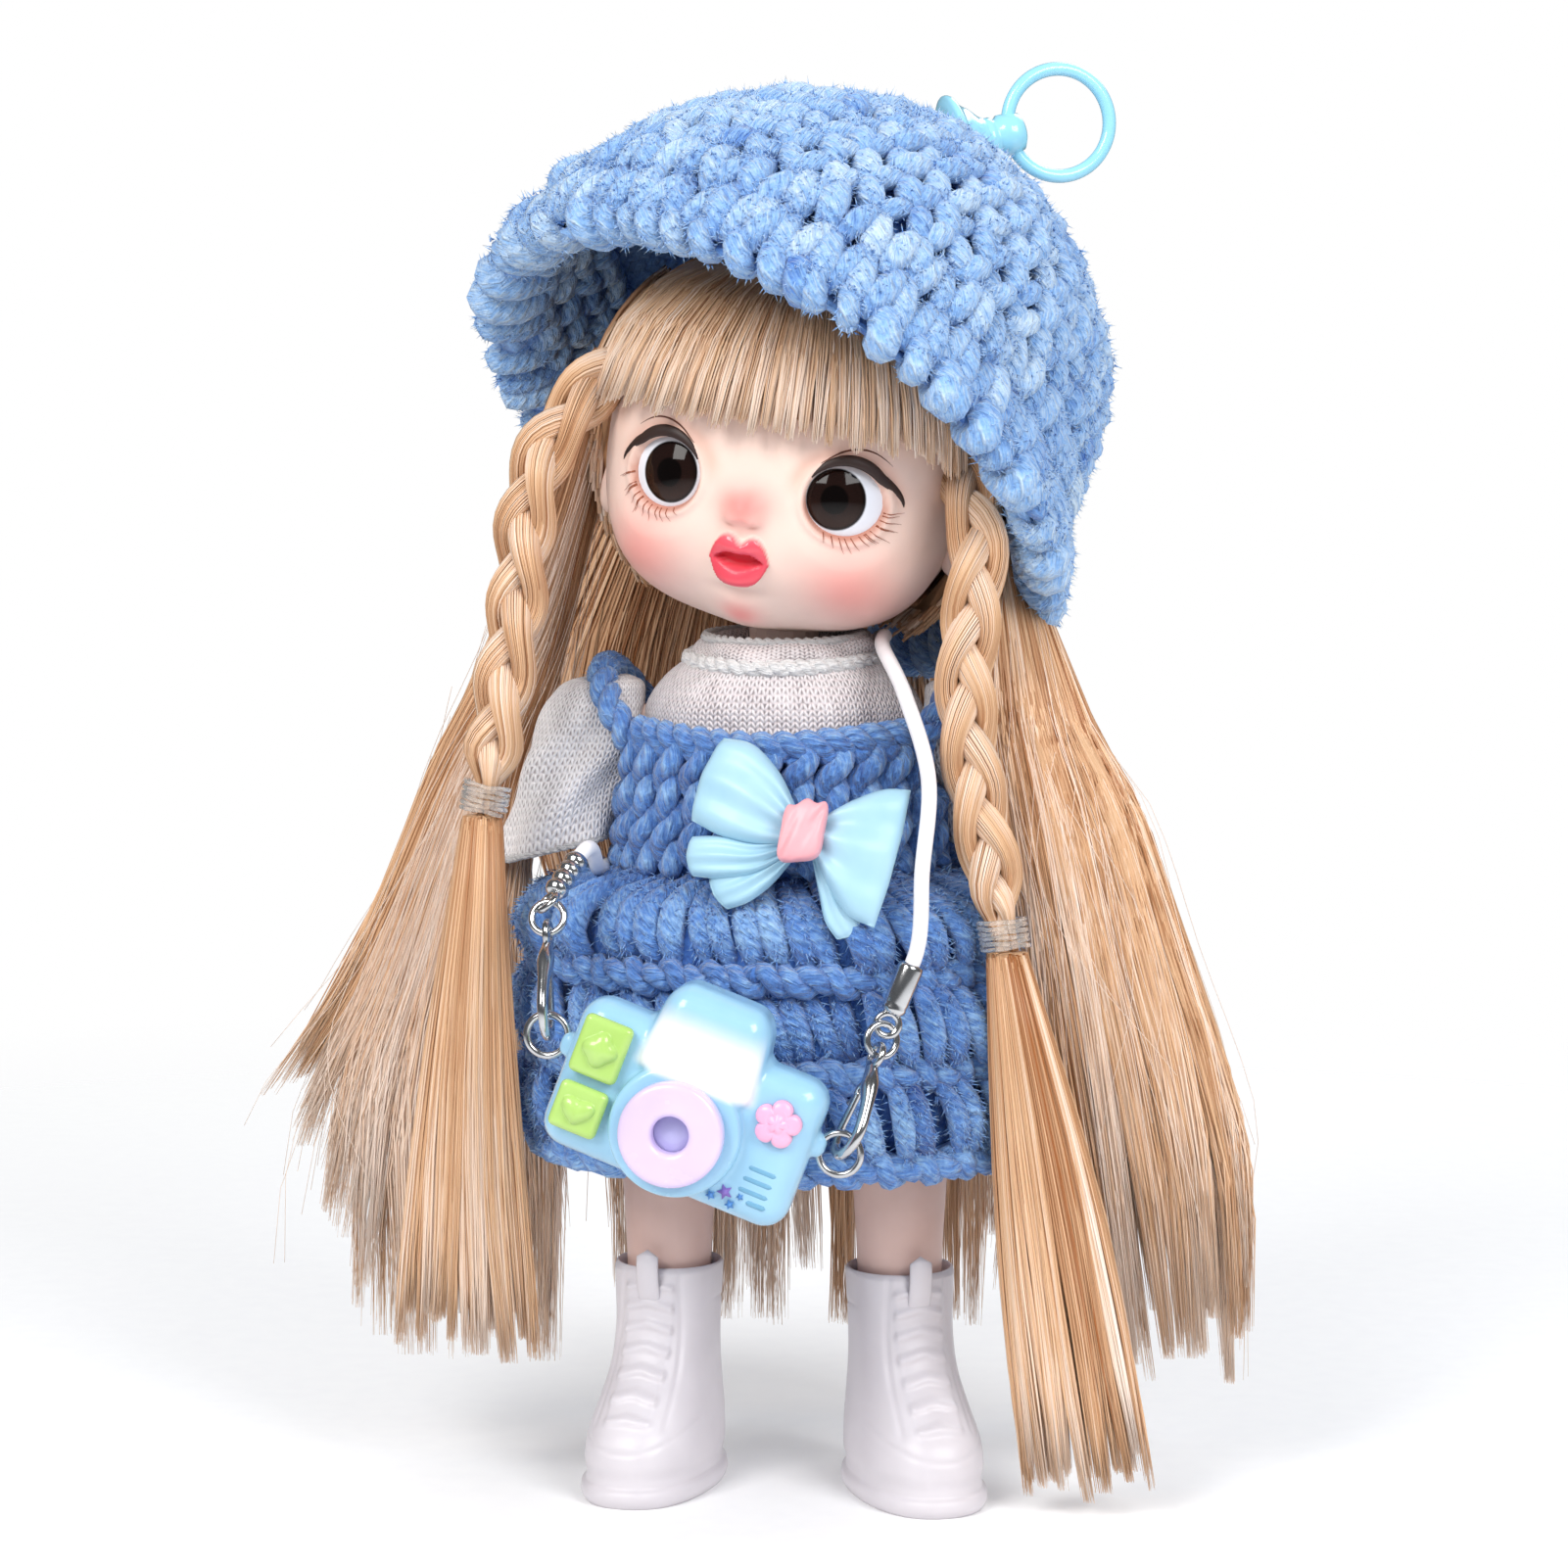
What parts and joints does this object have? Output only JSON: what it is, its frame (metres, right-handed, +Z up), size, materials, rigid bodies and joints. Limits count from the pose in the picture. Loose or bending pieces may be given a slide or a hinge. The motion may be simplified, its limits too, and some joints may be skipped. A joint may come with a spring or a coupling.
{
  "type": "doll charm",
  "caption": "Jointed doll charm with long braided hair, crocheted hat and pinafore, knitted jumper, key ring on the hat and a toy camera on a shoulder strap.",
  "frame": {"origin": "middle of the bottom of the part's box, on the floor under the shoes", "axes": "+Z up, the doll faces -Y, its left hand is at +X"},
  "size_m": [0.1186, 0.0798, 0.1737],
  "materials": {
    "skin": "satin vinyl",
    "eye": "polished",
    "hair": "straight synthetic fibre",
    "yarn": "chunky crochet",
    "jumper": "fine knit",
    "shoe": "soft vinyl",
    "aqua": "gloss enamel",
    "bow": "satin resin",
    "knot": "satin resin",
    "camera": "gloss resin",
    "lilac": "gloss resin",
    "lens": "gloss resin",
    "green": "gloss resin",
    "flower": "gloss resin",
    "steel": "bright plate",
    "cord": "coated cord",
    "elastic": "clear elastic"
  },
  "bodies": {
    "arm_left": {"arm_left": "skin", "sleeve_left": "jumper"},
    "arm_right": {"arm_right": "skin", "sleeve_right": "jumper"},
    "head": {"bangs": "hair", "bell_cap": "aqua", "braid_left": "hair", "braid_right": "hair", "braid_tail_left": "hair", "braid_tail_right": "hair", "eye_left": "eye", "eye_right": "eye", "hair_back": "hair", "hair_left": "hair", "hair_right": "hair", "hair_tie_left": "elastic", "hair_tie_right": "elastic", "hat": "yarn", "head": "skin", "ring_post": "aqua", "wig_cap": "hair"},
    "torso": {"bow_knot": "knot", "bow_ribbon": "bow", "clasp_left": "steel", "clasp_right": "steel", "ferrule_left": "steel", "ferrule_right": "steel", "jumper_body": "jumper", "jumper_collar": "jumper", "link_left": "steel", "link_right": "steel", "pinafore": "yarn", "strap_cord": "cord", "torso": "skin"},
    "camera": {"button_lower": "green", "button_upper": "green", "camera_body": "camera", "eyelet_left": "steel", "eyelet_right": "steel", "flower": "flower", "lens": "lens", "lens_ring": "lilac"},
    "clasp_gate_left": {"clasp_gate_left": "steel"},
    "clasp_gate_right": {"clasp_gate_right": "steel"},
    "key_ring": {"key_ring": "aqua"},
    "leg_left": {"leg_left": "skin", "shoe_left": "shoe"},
    "leg_right": {"leg_right": "skin", "shoe_right": "shoe"}
  },
  "joints": [
    {"name": "head_turn", "type": "hinge", "parent": "torso", "child": "head", "pos_m": [0.00333, 0.00121, 0.106], "axis": [0, 0, 1], "range_deg": [-25, 25], "deforming": ["braid_left", "braid_right", "braid_tail_left", "braid_tail_right", "hair_back", "hair_left", "hair_right", "hair_tie_left", "hair_tie_right"]},
    {"name": "ring_swing", "type": "hinge", "parent": "head", "child": "key_ring", "pos_m": [0.02832, 0.02398, 0.16478], "axis": [-0.2183, -0.0839, 0.9723], "range_deg": [-45, 45]},
    {"name": "shoulder_left", "type": "hinge", "parent": "torso", "child": "arm_left", "pos_m": [0.02533, 0.00121, 0.0935], "axis": [1, 0, 0], "range_deg": [-20, 25]},
    {"name": "shoulder_right", "type": "hinge", "parent": "torso", "child": "arm_right", "pos_m": [-0.01867, 0.00121, 0.0935], "axis": [1, 0, 0], "range_deg": [-20, 25]},
    {"name": "hip_left", "type": "hinge", "parent": "torso", "child": "leg_left", "pos_m": [0.01753, 0.00121, 0.064], "axis": [1, 0, 0], "range_deg": [-20, 10]},
    {"name": "hip_right", "type": "hinge", "parent": "torso", "child": "leg_right", "pos_m": [-0.01087, 0.00121, 0.064], "axis": [1, 0, 0], "range_deg": [-20, 10]},
    {"name": "camera_swing", "type": "hinge", "parent": "torso", "child": "camera", "pos_m": [-0.00255, -0.03129, 0.05287], "axis": [0.9336, 0, -0.3584], "range_deg": [-25, 0]},
    {"name": "gate_left", "type": "hinge", "parent": "torso", "child": "clasp_gate_left", "pos_m": [0.01628, -0.02805, 0.05339], "axis": [-0.7646, -0.4708, 0.4402], "range_deg": [0, 20], "stiffness_Nm_per_rad": 0.0005},
    {"name": "gate_right", "type": "hinge", "parent": "torso", "child": "clasp_gate_right", "pos_m": [-0.01987, -0.02757, 0.06633], "axis": [-0.9973, 0, -0.0735], "range_deg": [0, 20], "stiffness_Nm_per_rad": 0.0005}
  ]
}
